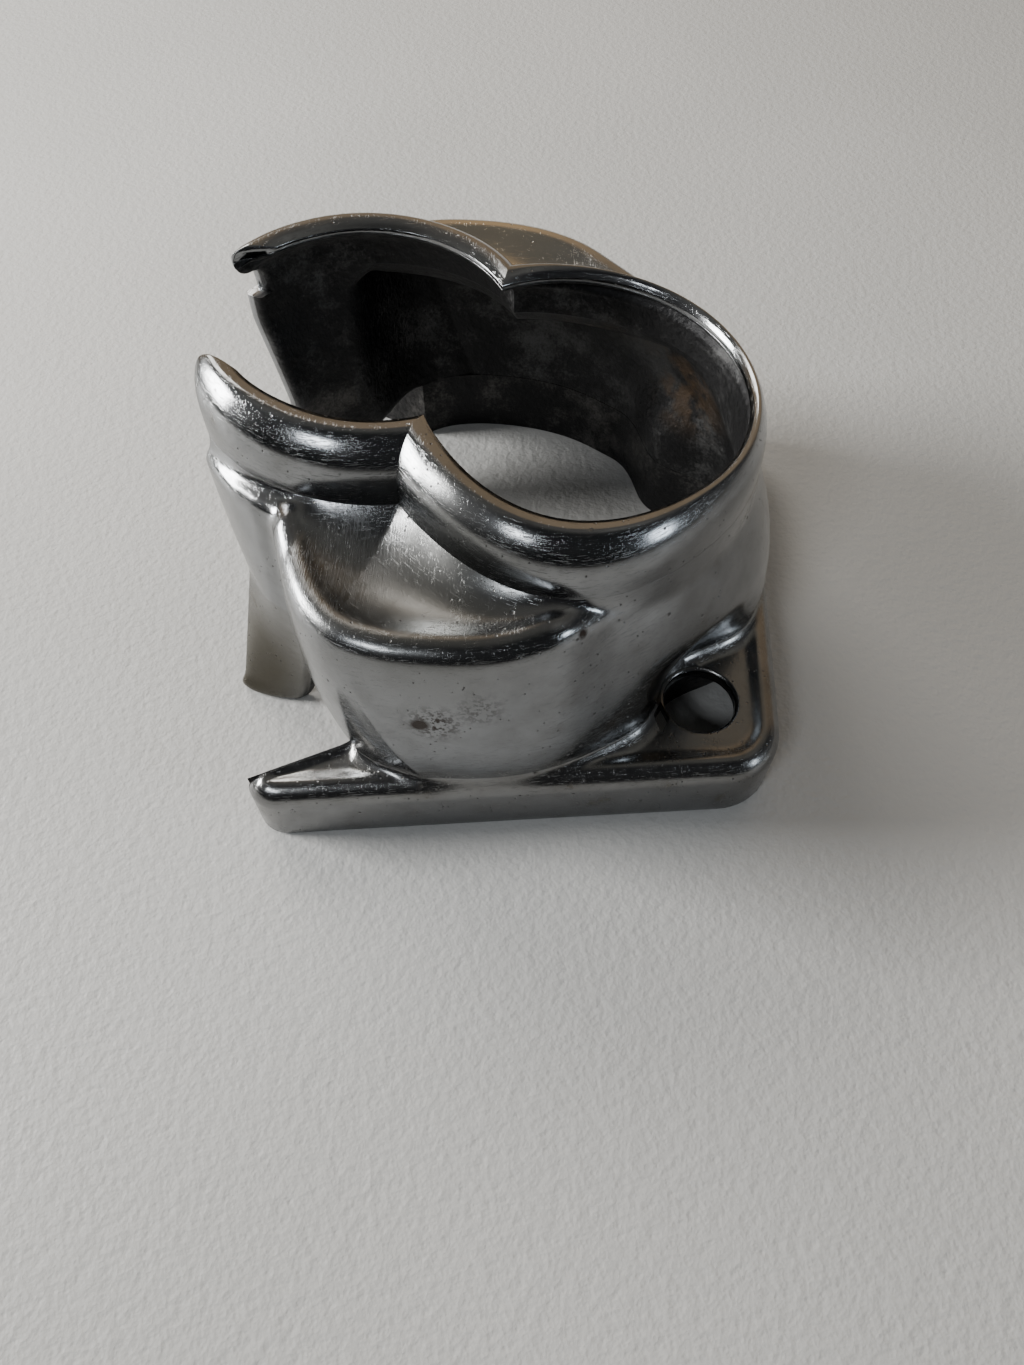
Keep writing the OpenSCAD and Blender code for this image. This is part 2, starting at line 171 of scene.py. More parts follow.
def band_at(b):
    """Share of the rim band's full width: narrow at the closed end, easing to full along each side."""
    return mix(BAND_SHARE, 1, np.where(b < 0, smooth((-b - 15) / 70), smooth((b - 40) / 60)))


def crease_r(b):
    """Reach of the crease under the rim band: the rim grown by the band's width."""
    return reach(b, BAND_W * band_at(b))


def crease_z(b):
    """Height of the crease: a band height under the rim, on a line that falls towards the closed end
    at half the rim's slope."""
    return RIM_Z - BAND_H - RIM_RISE * crease_r(b) * cosd(b) / 2


def ledge_gap(b):
    """Distance from the crease to the start of the pouch's rolled ridge, below 0 where none is left."""
    return FOOT_REACH * along(RIDGE, np.abs(b)) - ROLL_R / 2 - crease_r(b)


def ledge(b):
    """Width of the ledge: the gap, turned softly into nothing where it would be below 0."""
    return (ledge_gap(b) + np.sqrt(ledge_gap(b) ** 2 + LEDGE_EASE ** 2)) / 2


def ledge_share(b):
    """How much of a ledge there is: 0 where the gap is well below nothing, 1 where it is wide."""
    return smooth((ledge_gap(b) + LEDGE_FROM) / LEDGE_FULL)


def ridge_z(b):
    """Height of the ridge: under the crease by the pouch's drop, and lower where a pouch ends."""
    return crease_z(b) - POUCH_DROP * smooth(ledge(b) / LEDGE_FULL) - END_DROP * (1 - ledge_share(b))


def foot_plain(b):
    """Reach of the cup's foot before the scoops: its stations as shares of the foot's reach."""
    return FOOT_REACH * along(FOOT, np.abs(b))


# The scoop lies a little nearer the closed end than the screw, and keeps clear of its hole
POCKET_AT = math.degrees(math.atan2(SCREW_Y, SCREW_X)) - 3
POCKET_REACH = math.hypot(SCREW_X, SCREW_Y) - SCREW_D / 2 - POCKET_GAP
POCKET_DEPTH = foot_plain(np.array(POCKET_AT)) - POCKET_REACH


def pocket(b, z):
    """Depth of the scoop beside each screw: a squared sine across its span either way, fading
    upwards over its rise."""
    s = np.clip(1 - np.abs(np.abs(b) - POCKET_AT) / POCKET_SPAN, 0, 1)
    fade = smooth((TRAY_Z + POCKET_RISE + 2 - z) / POCKET_RISE)
    return POCKET_DEPTH * np.sin(np.pi / 2 * s) ** 2 * fade


def top_points(b):
    """Ledge and ridge of a section: a line sagging by a parabola, then a quarter ellipse."""
    l, q = ledge(b), ROLL_R * ledge_share(b)
    fall = np.maximum(q, MIN_FALL)
    t = np.linspace(0, 1, 16, endpoint=False)[None]
    a = np.linspace(0, np.pi / 2, 12)[None]
    col = lambda v: np.asarray(v)[:, None]
    r = np.hstack([col(crease_r(b)) + col(l) * t, col(crease_r(b) + l) + col(q) * np.sin(a)])
    z = np.hstack([mix(col(crease_z(b)), col(ridge_z(b)), t) - DISH * col(l) * 4 * t * (1 - t),
                   col(ridge_z(b)) - col(fall) * (1 - np.cos(a))])
    return np.stack([r, z], -1)


def flank_r(b, z):
    """Reach of a flank: a parabola from the foot of the ridge to the tray, less the pocket, with a
    low arris down the turn of each pouch towards the open end."""
    top = top_points(b)[:, -1]
    col = lambda v: np.asarray(v)[:, None]
    t = np.clip((col(top[:, 1]) - z) / (col(top[:, 1]) - TRAY_Z), 0, 1)
    swell = BELLY * smooth((CORNER - np.abs(b)) / 10) + END_SWELL * smooth((50 - np.abs(b)) / 30)
    turn = np.abs(col(b)) - mix(99.5, 106, (z - TRAY_Z) / 12)
    arris = 0.28 * np.exp(-np.abs(turn) / 1.8) * smooth((26 - z) / 6)
    bow = col(swell) * 4 * t * (1 - t)
    return mix(col(top[:, 0]), col(foot_plain(b)), t) + bow - pocket(col(b), z) + arris


def rounded(profiles, radius, places):
    """Each profile averaged along its own length over a bell curve of that radius, so its corners
    turn smoothly while its two ends stay, then taken at the given shares of its length."""
    out = []
    for p in profiles:
        s = np.r_[0, np.cumsum(np.hypot(*np.diff(p, axis=0).T))]
        even = np.linspace(0, s[-1], 260)
        q = np.stack([np.interp(even, s, p[:, i]) for i in (0, 1)], -1)
        k = int(3 * radius / even[1]) + 1
        w = np.exp(-0.5 * (np.arange(-k, k + 1) * even[1] / radius) ** 2)
        w /= w.sum()
        full = np.vstack([2 * q[0] - q[k:0:-1], q, 2 * q[-1] - q[-2:-k - 2:-1]])
        q = np.stack([np.convolve(full[:, i], w, "valid") for i in (0, 1)], -1)
        t = np.asarray(places) * s[-1]
        out.append(np.stack([np.interp(t, even, q[:, i]) for i in (0, 1)], -1))
    return np.array(out)


def moved_in(profiles):
    """The inner side of each profile: moved in by the wall along its own normal, and level with it
    at both ends."""
    d = np.gradient(profiles, axis=1)
    n = unit(np.stack([d[..., 1], -d[..., 0]], -1))
    run = np.cumsum(np.r_[0, np.linalg.norm(np.diff(profiles.mean(0), axis=0), axis=-1)])
    w = smooth(np.minimum(run, run[-1] - run) / 1.6)[None, :, None]
    return profiles + WALL * unit(mix(np.array([-1.0, 0.0]), n, w))


def placed(b, profiles):
    """Points in space from bearings and profiles of reach and height."""
    b = np.broadcast_to(b, profiles.shape[:-1])
    r, z = profiles[..., 0], profiles[..., 1]
    return np.stack([r * cosd(b) + SHIFT_X, r * sind(b), z], -1)


# ---------------------------------------------------------------- meshes
def grid_normals(g):
    """Normal of a surface of two parameters: the cross product of its two slopes."""
    return unit(np.cross(np.gradient(g, axis=1, edge_order=2), np.gradient(g, axis=0, edge_order=2)))


def soften(outer, inner, radii):
    """Rounds free edges: both sides close in by one minus the root of one minus the square of how
    far into the radius a point lies. radii names the edges: first, last, start, end."""
    across = unit(inner - outer)
    for edge, radius in radii.items():
        axis = 0 if edge in ("first", "last") else 1
        step = np.linalg.norm(np.diff(outer, axis=axis), axis=-1)
        zero = np.zeros_like(np.take(step, [0], axis))
        run = np.cumsum(np.concatenate([zero, step], axis), axis)
        if edge in ("last", "end"):
            run = np.take(run, [-1], axis) - run
        room = np.linalg.norm(inner - outer, axis=-1) * 0.48
        radius = np.minimum(np.broadcast_to(np.asarray(radius, float), outer.shape[:2]), room)
        c = np.clip(1 - run / np.maximum(radius, 1e-6), 0, 1)
        e = (radius * (1 - np.sqrt(1 - c * c)))[..., None]
        outer, inner = outer + e * across, inner - e * across
    return outer, inner


def add_piece(name, points, faces, normals, inside, nodes, material):
    """One visible piece from points in millimetres, its faces, a normal at each face corner, and how
    far inside the casting each point is."""
    mesh = bpy.data.meshes.new(name)
    mesh.from_pydata((points * 0.001).tolist(), [], faces.tolist())
    mesh.attributes.new("inside", "FLOAT", "POINT").data.foreach_set("value", inside.astype(np.float32))
    mesh.polygons.foreach_set("use_smooth", np.ones(len(faces), bool))
    mesh.update()
    mesh.normals_split_custom_set(normals.reshape(-1, 3).tolist())
    return settle(bpy.data.objects.new(name, mesh), nodes, material)


def settle(piece, nodes, material):
    """Puts a piece into the scene with its material, body and replaced nodes."""
    bpy.context.scene.collection.objects.link(piece)
    piece.data.materials.append(material)
    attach(piece, "root")
    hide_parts(*nodes)
    return piece


def shell(name, outer, inner, node, material, normals=None):
    """A closed sheet of metal between an outer and an inner grid, with its four edges closed."""
    m, n = outer.shape[:2]
    upper = grid_normals(outer) if normals is None else normals[0]
    lower = -grid_normals(inner) if normals is None else normals[1]
    turned = np.sum(upper * (outer - inner)) < 0
    if turned:
        upper, lower = -upper, -lower
    points = np.concatenate([outer.reshape(-1, 3), inner.reshape(-1, 3)])
    o = np.arange(m * n).reshape(m, n)
    i = o + m * n

    def quads(a, b, c, d):
        return np.stack([a, b, c, d], -1).reshape(-1, 4)

    sheet = quads(o[:-1, :-1], o[:-1, 1:], o[1:, 1:], o[1:, :-1])
    under = quads(i[:-1, :-1], i[1:, :-1], i[1:, 1:], i[:-1, 1:])
    rims = np.concatenate([
        quads(o[:-1, 0], o[1:, 0], i[1:, 0], i[:-1, 0]),
        quads(o[1:, -1], o[:-1, -1], i[:-1, -1], i[1:, -1]),
        quads(o[0, 1:], o[0, :-1], i[0, :-1], i[0, 1:]),
        quads(o[-1, :-1], o[-1, 1:], i[-1, 1:], i[-1, :-1])])
    faces = np.concatenate([sheet, under, rims])
    flat = points[faces]
    flat = unit(np.cross(flat[:, 2] - flat[:, 0], flat[:, 3] - flat[:, 1]))
    both = np.concatenate([upper.reshape(-1, 3), lower.reshape(-1, 3)])
    curved = len(sheet) * 2
    corner = np.concatenate([both[faces[:curved]], np.repeat(flat[curved:, None], 4, 1)])
    if turned:
        faces, corner = faces[:, ::-1], corner[:, ::-1].copy()
        corner[curved:] *= -1
    inside = np.r_[np.zeros(m * n), np.ones(m * n)]
    return add_piece(name, points, faces, corner, inside, [node], material)


# ---------------------------------------------------------------- materials
class Value:
    """One value in a material's tree. Arithmetic on it adds maths nodes."""

    def __init__(self, tree, socket):
        self.tree, self.socket = tree, socket

    def make(self, kind, inputs=None, output=0, **settings):
        """Adds a node of a kind with its settings, feeds its inputs, and gives one output."""
        node = self.tree.nodes.new(kind)
        for key, value in settings.items():
            setattr(node, key, value)
        for key, value in (inputs or {}).items():
            if isinstance(value, Value):
                self.tree.links.new(value.socket, node.inputs[key])
            else:
                node.inputs[key].default_value = value
        return Value(self.tree, node.outputs[output])

    def maths(self, operation, a, b=0.0):
        return self.make("ShaderNodeMath", {0: a, 1: b}, operation=operation)

    def __add__(self, other):
        return self.maths("ADD", self, other)

    def __sub__(self, other):
        return self.maths("SUBTRACT", self, other)

    def __rsub__(self, other):
        return self.maths("SUBTRACT", other, self)

    def __mul__(self, other):
        return self.maths("MULTIPLY", self, other)

    __radd__, __rmul__ = __add__, __mul__

    def least(self, other):
        return self.maths("MINIMUM", self, other)

    def most(self, other):
        return self.maths("MAXIMUM", self, other)

    def rise(self, low, high):
        """0 below low and 1 above high, easing between."""
        return self.make("ShaderNodeMapRange", {0: self, 1: low, 2: high},
                         interpolation_type="SMOOTHSTEP")

    def noise(self, scale, detail=2.0, rough=0.5, **inputs):
        return self.make("ShaderNodeTexNoise", {"Vector": self, "Scale": scale, "Detail": detail,
                                                "Roughness": rough, **inputs})

    def cells(self, scale, feature="F1"):
        return self.make("ShaderNodeTexVoronoi", {"Vector": self, "Scale": scale}, feature=feature)

    def near(self, place, radius):
        """1 at a place in millimetres, falling to 0 at the radius."""
        away = self.make("ShaderNodeVectorMath", {0: self, 1: place}, "Value", operation="DISTANCE")
        return 1.0 - away.rise(0.0, radius)

    def moved(self, scale=(1, 1, 1), turn=(0, 0, 0)):
        return self.make("ShaderNodeMapping", {"Vector": self, "Scale": scale, "Rotation": turn})

    def blend(self, a, b):
        """Colour a where this is 0, and b where it is 1."""
        node = self.make("ShaderNodeMix", {0: self}, 2, data_type="RGBA")
        for socket, value in ((6, a), (7, b)):
            if isinstance(value, Value):
                self.tree.links.new(value.socket, node.socket.node.inputs[socket])
            else:
                node.socket.node.inputs[socket].default_value = (*value, 1)
        return node

    def bump(self, distance, strength=1.0):
        return self.make("ShaderNodeBump", {"Height": self, "Distance": distance, "Strength": strength})


def surface(name, **fixed):
    """A material with one shader: the shader, and the place in millimetres as a value."""
    material = bpy.data.materials.new(name)
    material.use_nodes = True
    tree = material.node_tree
    shader = tree.nodes["Principled BSDF"]
    for key, value in fixed.items():
        shader.inputs[key.replace("_", " ")].default_value = value
    start = Value(tree, None)
    place = start.make("ShaderNodeTexCoord", output="Object")
    # Object coordinates are in metres
    scaled = start.make("ShaderNodeVectorMath", {0: place, 1: (1000, 1000, 1000)}, operation="MULTIPLY")
    return material, shader, scaled


def feed(shader, **values):
    """Links each value to the shader's input of that name."""
    for key, value in values.items():
        value.tree.links.new(value.socket, shader.inputs[key.replace("_", " ")])


def plated(name, wear, grain, inner_tone):
    """Worn chrome outside, and rough unplated casting where a point's inside value is 1."""
    material, shader, at = surface(name)
    inside = at.make("ShaderNodeAttribute", output="Fac", attribute_name="inside").rise(0.35, 0.75)
    broad = at.noise(0.09, 3, 0.6)
    cloud = at.noise(0.35, 4, 0.62)
    speck = at.noise(3.1, 3, 0.7)
    # Scratches run about level round the cup, some of them leaning
    hair = at.moved((0.5, 0.5, 11.0), (0.12, 0.05, 0)).noise(1.7, 3, 0.65, Distortion=0.15)
    cross = at.moved((6.0, 0.4, 1.5), (0, 0, 0.7)).noise(2.2, 2, 0.6)
    lines = (hair - 0.5).rise(0.06, 0.2) * 0.8 + (cross - 0.5).rise(0.1, 0.24) * 0.5
    # The left of the front ledge is brushed straight outwards
    brushed = at.moved((9.0, 0.3, 0.6)).noise(1.6, 2, 0.6).rise(0.44, 0.62)
    lines = lines + brushed * at.near((-13.5, -19.0, 28.6), 9.0)
    # Pits: the middles of small cells, kept only where a coarser noise allows them
    allowed = (at.noise(0.5, 2) - 0.5).rise(-0.1 * wear, 0.14)
    small = (1.0 - at.cells(1.5).rise(0.06, 0.2)) * allowed
    large = (1.0 - at.cells(0.5).rise(0.04, 0.12)) * (at.noise(0.2, 2) - 0.5).rise(0.0, 0.12)
    pits = small.most(large)
    stain = (cloud - 0.5).rise(0.08, 0.3) * (broad - 0.45).rise(0.0, 0.2)
    grains = (speck * 0.6 + at.noise(1.3, 3, 0.6) * 0.6).rise(0.56, 0.66)
    rust = at.near((-5.6, -29.3, 19.4), 1.2) * 1.3
    rust = rust.most(at.near((-4.4, -29.3, 19.6), 3.4) * grains * 0.7)
    rust = rust.most(at.near((7.5, -24.7, 27.1), 0.7))
    rust = rust.most(at.near((-0.5, -29.0, 21.5), 3.0) * grains * 0.35) * (speck * 1.9).rise(0.4, 0.95)
    film = (cloud * 0.55 + broad * 0.45).rise(0.38, 0.72)

    bright = film.blend((0.28, 0.288, 0.297), (0.205, 0.209, 0.212))
    # Painted light set by place: a painted warm reflection makes the rear ledge lighter and warmer, painted
    # dark reflections make the front ledge and the tabs darker, and painted shade with dark reflection
    # darkens the scoops
    bright = at.near((-3.0, 27.0, 31.0), 16.0).blend(bright, (0.62, 0.56, 0.46))
    # Painted dark reflection: the front ledge is darkened towards a near-black grey
    bright = (at.near((-5.0, -22.0, 29.0), 13.0) * 0.75).blend(bright, (0.125, 0.124, 0.114))
    # Painted shade and dark reflection in the scoops beside the screws, darkened almost to black
    scoop_shade = at.near((15.0, -16.5, 12.0), 10.0).most(at.near((15.0, 16.5, 12.0), 10.0)) * 0.9
    # Painted dark reflection on the tabs, which turns them a dim brown-grey
    tab_dark_reflection = at.near((-27.0, -14.0, 6.0), 15.0).most(at.near((-27.0, 14.0, 6.0), 15.0)) * 1.3
    stains_and_shade = (stain * (0.35 + wear) + wear * 0.6).blend(bright, (0.16, 0.146, 0.123))
    # Stains and wear, with the painted shade of the scoops and the painted dark reflection of the tabs
    # mixed over them
    stains_and_shade = tab_dark_reflection.blend(scoop_shade.blend(stains_and_shade, (0.03, 0.032, 0.034)), (0.085, 0.078, 0.062))
    spotted = (pits * 0.75).blend(stains_and_shade, (0.06, 0.055, 0.05))
    rusty = (rust * 1.6).blend(spotted, (0.024, 0.014, 0.010))

    grey_patch = at.near((13.0, 17.0, 22.0), 11.0) * 0.12
    patch = (at.noise(0.16, 5, 0.68) * 0.7 + speck * 0.3 + grey_patch).rise(0.47, 0.66)
    brown = at.near((18.5, 13.5, 19.5), 8.0).most(at.near((9.0, 17.0, 25.0), 9.0) * 0.7)
    brown = brown * cloud.rise(0.4, 0.58)
    cast = patch.blend((0.016, 0.016, 0.017), inner_tone)
    cast = (brown * 0.85).blend(cast, (0.13, 0.085, 0.05))
    shine = 0.14 + film * 0.07 + lines * 0.08 + stain * 0.12 + pits * 0.3 + rust * 0.2 + wear * 0.12
    shine = shine + at.near((-7.0, -22.0, 29.0), 14.0) * 0.17  # the front ledge is duller
    rough = 0.36 + patch * 0.2 + speck * 0.16
    feed(shader, Base_Color=inside.blend(rusty, cast),
         Roughness=shine * (1.0 - inside) + rough * inside,
         Metallic=(1.0 - rust.least(1.0) * 0.5) * (1.0 - inside) + inside * 0.72)
    smoothed = at.noise(0.13, 1, 0.4) * 0.5 + cloud * 0.03 + speck * (0.010 + wear * 0.02)
    worn = smoothed - lines * 0.02 - pits * 0.12 - rust * 0.01
    raw = at.noise(1.1, 5, 0.7) * 0.55 + at.cells(1.4) * 0.12 + at.noise(0.3, 2) * 0.6
    height = worn * (1.0 - inside) * grain + raw * inside
    feed(shader, Normal=height.bump(0.00032, 1.0))
    return material


def leathered():
    """Pale floor of fine pebbled board: two sizes of soft cells, with a faint tint that drifts."""
    material, shader, at = surface("floor_board", Specular_IOR_Level=0.35)
    pebbles = at.cells(1.15, "SMOOTH_F1") * 0.6 + at.noise(1.9, 3, 0.55) * 0.5 + at.cells(2.6) * 0.2
    drift = at.noise(0.012, 2, 0.5)
    feed(shader, Base_Color=drift.rise(0.3, 0.7).blend((0.555, 0.555, 0.541), (0.61, 0.606, 0.592)),
         Roughness=0.42 + pebbles * 0.12, Normal=pebbles.bump(0.00016, 0.8))
    return material


bright_chrome = plated("bright_chrome", 0.0, 1.0, (0.10, 0.10, 0.10))
dull_chrome = plated("dull_chrome", 0.45, 1.25, (0.12, 0.115, 0.11))


# ---------------------------------------------------------------- cup below the rim
def cup_wall():
    """Pouches and the closed end as one grid of bearings and profiles, cut into three pieces."""
    stops = [-CORNER, float(cusp(-1, BAND_W)), -POUCH_END, POUCH_END, float(cusp(1, BAND_W)), CORNER]
    b, cuts = [], [0]
    for low, high in zip(stops, stops[1:]):
        count = max(3, int((high - low) * 1.5 * fine))
        b += list(np.linspace(low, high, count, endpoint=False))
        cuts.append(len(b))
    b = np.array(b + [CORNER])
    top = top_points(b)
    z = mix(top[:, -1, 1][:, None], TRAY_Z, np.linspace(0, 1, 34)[None, 1:])
    profile = np.concatenate([top, np.stack([flank_r(b, z), z], -1)], 1)
    profile = rounded(profile, 0.5, crowd(int(90 * fine), 0, 0.45))
    outer, inner = placed(b[:, None], profile), placed(b[:, None], moved_in(profile))
    free = 0.55 * smooth((np.abs(b) - ROOT) / 5)[:, None]
    outer, inner = soften(outer, inner, {"end": free})
    upper, lower = grid_normals(outer), -grid_normals(inner)
    names = {"front_pouch": (cuts[0], cuts[2]), "closed_end_wall": (cuts[2], cuts[3]),
             "rear_pouch": (cuts[3], cuts[5])}
    for node, (first, last) in names.items():
        part = slice(first, last + 1)
        shell(node + "_skin", outer[part], inner[part], node, bright_chrome,
              (upper[part], lower[part]))


def side_panel(side, word):
    """A side panel and the tab below its bend: profiles over bearings that lean with the height,
    eased onto the pouch's own profile where they meet it. The tab's bead is a bell curve of the
    height, carried outwards."""
    edge = PANEL_FRONT if side < 0 else PANEL_REAR
    s = crowd(int(70 * fine), 0, 0.8)
    top = top_points(side * mix(CORNER, edge, s))
    t = np.linspace(0, 1, 20)[None, 1:]
    col = lambda v: np.asarray(v)[:, None]
    bend_r = foot_plain(mix(CORNER, BEND_TIP, s))
    zp = mix(col(top[:, -1, 1]), BEND_Z, t)
    panel = mix(col(top[:, -1, 0]), col(bend_r), t)
    floor = TRAY_Z * smooth(1 - s / TAB_LEVEL)
    foot = mix(float(foot_plain(np.array(CORNER))), TAB_REACH, smooth(s))
    zt = mix(BEND_Z, col(floor), t)
    tab = mix(col(bend_r), col(foot), t ** TAB_FLARE)
    bead = np.exp(-((zt - BEAD_Z) / 0.55) ** 2) * col(smooth((s - 0.3) / 0.2))
    tab = tab + BEAD_R * bead
    r, z = np.hstack([panel, tab]), np.hstack([zp, zt])
    wall_there = flank_r(np.full(1, side * CORNER), z[:1])
    r = r + (wall_there - r[:1]) * (1 - smooth(s / 0.4))[:, None]
    whole = np.concatenate([top, np.stack([r, z], -1)], 1)
    lengths = np.cumsum(np.linalg.norm(np.diff(whole, axis=1), axis=-1), 1)
    share = lengths[:, top.shape[1] + t.shape[1] - 2] / lengths[:, -1]
    cut = int(46 * fine)
    profile = []
    for p, h in zip(whole, share):
        places = np.r_[np.linspace(0, h, cut, endpoint=False), mix(h, 1, crowd(int(46 * fine), 0, 0.7))]
        profile.append(rounded(p[None], 0.4, places)[0])
    profile = np.array(profile)
    zz = profile[..., 1]
    rise = RIM_Z - BAND_H + RIM_RISE * FOOT_REACH / 2 - BEND_Z
    lean = np.where(zz > BEND_Z, mix(BEND_TIP, edge, smooth((zz - BEND_Z) / rise)),
                    mix(TAB_TIP, BEND_TIP, zz / BEND_Z))
    b = side * mix(CORNER, lean, s[:, None])
    outer, inner = placed(b, profile), placed(b, moved_in(profile))
    outer, inner = soften(outer, inner, {"last": 0.6, "end": 0.7})
    upper, lower = grid_normals(outer), -grid_normals(inner)
    shell(word + "_side_panel_skin", outer[:, :cut + 1], inner[:, :cut + 1], word + "_side_panel",
          bright_chrome, (upper[:, :cut + 1], lower[:, :cut + 1]))
    shell(word + "_tab_skin", outer[:, cut:], inner[:, cut:], word + "_tab", dull_chrome,
          (upper[:, cut:], lower[:, cut:]))


def tip_bearing(tip, s):
    """Bearing of a petal's free end across the band: a line with a parabola's bulge."""
    return mix(tip[0], tip[1], s) + tip[2] * 4 * s * (1 - s)


def rim_band(name, own_reach, first, last, count, tip=None):
    """A stretch of the rim between two bearings that depend on the place across the band. Across
    the band it is a smooth curve through the band's points; a free tip closes in a quarter round."""
    v = crowd(int(64 * fine), 0.35)
    knots = np.linspace(0, 1, len(BAND))
    across = np.stack([along(np.c_[knots, BAND[:, i]], v) for i in range(4)], -1)
    share = np.clip(across[:, 0], 0, 1)
    t = crowd(count, 0.9 if tip == "first" else 0, 0.9 if tip == "last" else 0)
    b = mix(first(share)[None], last(share)[None], t[:, None])
    draw = TIP_SHARE * smooth((np.abs(b) - np.where(b < 0, TIP_FROM_FRONT, TIP_FROM_REAR)) / TIP_SPAN)
    end = 1 - t if tip == "first" else t
    close = np.clip(1 - (1 - end) * 26, 0, 1) if tip else np.zeros_like(t)
    close = (1 - np.sqrt(1 - close ** 2))[:, None]
    w = BAND_W * band_at(b)
    grow = w * mix(share[None], 1, draw + close * 0.3)
    r = own_reach(b, grow)
    edge_z = RIM_Z - RIM_RISE * reach(b, 0) * cosd(b)
    foot_z = crease_z(b)
    drop = smooth((v - knots[-2]) / (1 - knots[-2]))[None]
    z = mix(edge_z + across[None, :, 1], foot_z, drop * (v >= knots[-2])[None])
    z = z - 0.003 - 0.7 * close * np.clip((z - foot_z) / BAND_H, 0, 1)
    outer = np.stack([r, z], -1)
    inner = outer + WALL * across[None, :, 2:]
    outer, inner = placed(b, outer), placed(b, inner)
    radii = {"start": 0.16}
    if tip:
        radii[tip] = 0.6
    outer, inner = soften(outer, inner, radii)
    shell(name + "_skin", outer, inner, name, bright_chrome)


cup_wall()
side_panel(-1, "front")
side_panel(1, "rear")
rim_band("round_lobe_rim", round_reach, lambda s: cusp(-1, BAND_W * s),
         lambda s: cusp(1, BAND_W * s), int(300 * fine))
rim_band("front_petal_rim", open_reach, lambda s: -tip_bearing(TIP_FRONT, s),
         lambda s: cusp(-1, BAND_W * s), int(110 * fine), "first")
rim_band("rear_petal_rim", open_reach, lambda s: cusp(1, BAND_W * s),
         lambda s: tip_bearing(TIP_REAR, s), int(130 * fine), "last")


# ---------------------------------------------------------------- tray
def polar(path):
    """Bearing and distance of the points of a path."""
    return np.degrees(np.arctan2(path[:, 1], path[:, 0])), np.hypot(path[:, 0], path[:, 1])


def tray_outline(inset):
    """Bearing and distance of the tray's rear outline, moved in: the end corner, the side and the
    tongue's round tip."""
    angle = math.degrees(math.atan2(SIDE_OPEN - SIDE_END, TRAY_END - TONGUE_X))

    def arc(x, r, a, b):
        """Part of a circle of radius r, tangent to the side, less the inset."""
        t = np.radians(np.linspace(a, b, 40))
        y = mix(SIDE_END, SIDE_OPEN, (TRAY_END - x) / (TRAY_END - TONGUE_X)) - r / cosd(angle)
        return np.stack([x + (r - inset) * np.cos(t), y + (r - inset) * np.sin(t)], -1)

    corner = arc(TRAY_END - CORNER_R, CORNER_R, 0, 90 - angle)
    tip = arc(TONGUE_X + TONGUE_R, TONGUE_R, 90 - angle, 178)
    t = np.linspace(0, 1, 60)[:, None]
    path = np.concatenate([mix([TRAY_END - inset, 0], corner[0], t[:-1]), corner,
                           mix(corner[-1], tip[0], t[1:-1]), tip])
    return polar(path)


def on_ray(b, path):
    """Distance at which a path of rising bearings is met, straight between its points."""
    return np.interp(np.abs(b), *path)


